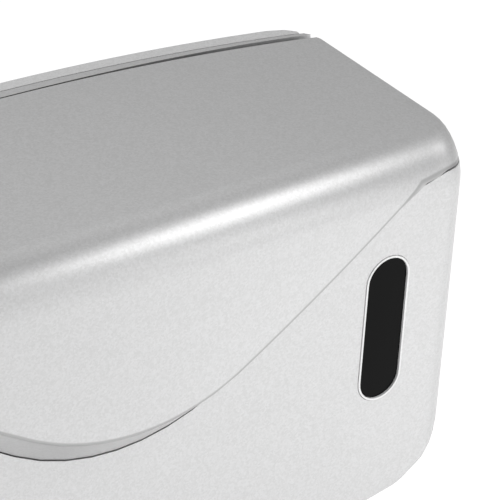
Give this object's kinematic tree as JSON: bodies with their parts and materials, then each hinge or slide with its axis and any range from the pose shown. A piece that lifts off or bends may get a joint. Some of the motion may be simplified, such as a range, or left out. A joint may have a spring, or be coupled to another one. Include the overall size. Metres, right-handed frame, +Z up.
{
  "type": "wall mounted soap dispenser",
  "caption": "Wall mounted soap dispenser: wide silver housing with a bowed lift-up hood, a tank with a filler cap, a level window and a push valve with a spout below",
  "frame": {"origin": "middle of the wall plate's back face, on the wall plane", "axes": "+X is the user's right, -Y is the front that faces the user, +Y points into the wall, +Z is up"},
  "size_m": [0.205, 0.0918, 0.1495],
  "materials": {
    "screw_steel": "zinc plated steel",
    "pale_plastic": "natural pale plastic",
    "rubber_black": "black rubber",
    "silver_housing": "silver painted moulding with a fine metallic flake, satin",
    "black_plastic": "black moulded plastic",
    "pin_steel": "ground steel pin",
    "silver_hood": "silver painted moulding with a fine metallic flake, satin",
    "rubber_grey": "grey rubber",
    "lens": "dark tinted clear plastic, glossy",
    "silver_button": "silver painted moulding, satin",
    "tank_plastic": "smoked translucent plastic",
    "spring_steel": "stainless spring wire",
    "plate_steel": "zinc plated sheet steel",
    "rim": "pale moulded trim"
  },
  "bodies": {
    "housing": {"arm_screw_left": "screw_steel", "arm_screw_right": "screw_steel", "front_housing": "silver_housing", "hinge_arm_left": "black_plastic", "hinge_arm_right": "black_plastic", "hinge_pin_left": "pin_steel", "hinge_pin_right": "pin_steel", "hood_bumper_left": "rubber_black", "hood_bumper_right": "rubber_black", "housing_screw_1": "screw_steel", "housing_screw_2": "screw_steel", "housing_screw_3": "screw_steel", "housing_screw_4": "screw_steel", "level_window": "lens", "neck_gasket": "rubber_black", "plate_screw_left": "screw_steel", "plate_screw_right": "screw_steel", "rear_housing": "silver_housing", "tank": "tank_plastic", "tank_pad_left": "rubber_black", "tank_pad_right": "rubber_black", "valve_body": "black_plastic", "valve_cage": "pale_plastic", "valve_collar": "black_plastic", "valve_gasket": "rubber_black", "valve_nut": "pale_plastic", "valve_spring": "spring_steel", "wall_plate": "plate_steel", "window_rim": "rim", "window_seal": "rubber_black"},
    "hood": {"hood": "silver_hood"},
    "filler_cap": {"filler_cap": "pale_plastic", "filler_seal": "rubber_black"},
    "plunger": {"piston": "pale_plastic", "piston_ring": "rubber_black", "push_button": "silver_button", "spout": "black_plastic", "spout_tip": "rubber_grey"},
    "inlet_valve": {"inlet_valve": "rubber_grey"}
  },
  "joints": [
    {"name": "hood_open", "type": "hinge", "parent": "housing", "child": "hood", "pos_m": [0, -0.02135, 0.0465], "axis": [-1, 0, 0], "range_deg": [0, 85]},
    {"name": "cap_twist", "type": "hinge", "parent": "housing", "child": "filler_cap", "pos_m": [0, -0.042, 0.03], "axis": [0, 0, 1], "range_deg": [0, 90]},
    {"name": "button_push", "type": "slide", "parent": "housing", "child": "plunger", "axis": [0, 1, 0], "range_m": [0, 0.01], "stiffness_N_per_m": 300, "springref_m": -0.01, "deforming": ["valve_spring"]},
    {"name": "inlet_lift", "type": "slide", "parent": "housing", "child": "inlet_valve", "axis": [0, 0, 1], "range_m": [0, 0.002]}
  ]
}
